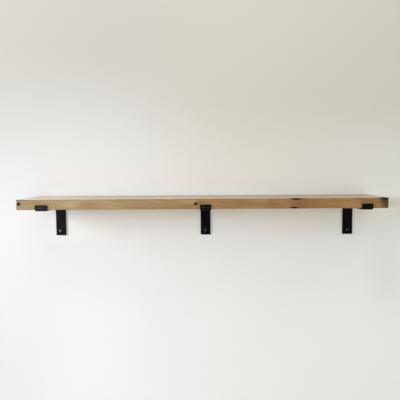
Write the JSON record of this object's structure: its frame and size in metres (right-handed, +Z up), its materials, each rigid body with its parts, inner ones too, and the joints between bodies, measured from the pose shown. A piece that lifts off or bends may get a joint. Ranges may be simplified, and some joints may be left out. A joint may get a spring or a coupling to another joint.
{
  "type": "bracket wall shelf",
  "caption": "Wall shelf: one thick reclaimed softwood board held by black bent flat-bar brackets that lip over its front edge and run down the wall.",
  "frame": {"origin": "middle of the board's back edge face, half way along its length and half way up its thickness, on the face of the wall", "axes": "+X along the wall to the right as seen from the room, +Y into the wall, +Z up"},
  "size_m": [1.35, 0.2755, 0.163],
  "materials": {
    "board_wood": "reclaimed softwood, sanded and oiled, with dark nail holes and a knot",
    "bracket_steel": "black waxed steel, satin",
    "screw_zinc": "zinc-plated steel",
    "plug_nylon": "moulded grey nylon"
  },
  "bodies": {
    "root": {"board": "board_wood", "bracket_left": "bracket_steel", "bracket_centre": "bracket_steel", "bracket_right": "bracket_steel", "wall_screw_left_upper": "screw_zinc", "wall_screw_left_lower": "screw_zinc", "wall_screw_centre_upper": "screw_zinc", "wall_screw_centre_lower": "screw_zinc", "wall_screw_right_upper": "screw_zinc", "wall_screw_right_lower": "screw_zinc", "wall_plug_left_upper": "plug_nylon", "wall_plug_left_lower": "plug_nylon", "wall_plug_centre_upper": "plug_nylon", "wall_plug_centre_lower": "plug_nylon", "wall_plug_right_upper": "plug_nylon", "wall_plug_right_lower": "plug_nylon", "board_screw_left_front": "screw_zinc", "board_screw_left_rear": "screw_zinc", "board_screw_centre_front": "screw_zinc", "board_screw_centre_rear": "screw_zinc", "board_screw_right_front": "screw_zinc", "board_screw_right_rear": "screw_zinc"}
  },
  "joints": []
}
